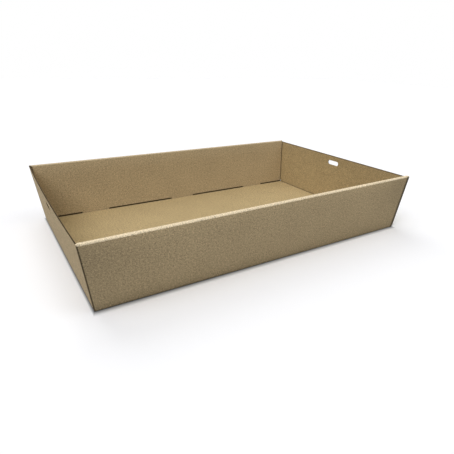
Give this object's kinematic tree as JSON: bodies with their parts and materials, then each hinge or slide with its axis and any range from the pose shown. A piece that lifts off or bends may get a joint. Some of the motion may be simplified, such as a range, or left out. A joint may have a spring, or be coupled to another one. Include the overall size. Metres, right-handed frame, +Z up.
{
  "type": "cardboard tray box",
  "caption": "Shallow open catering tray folded from one sheet of corrugated board, with walls that lean outwards, rolled long rims and a hand slot in each end.",
  "frame": {"origin": "middle of the base, on the floor", "axes": "+X along the tray's length, +Y across its width, +Z up out of its open top"},
  "size_m": [0.45, 0.3094, 0.08],
  "materials": {
    "board": "matt brown kraft liner"
  },
  "bodies": {
    "root": {"tray": "board"}
  },
  "joints": []
}
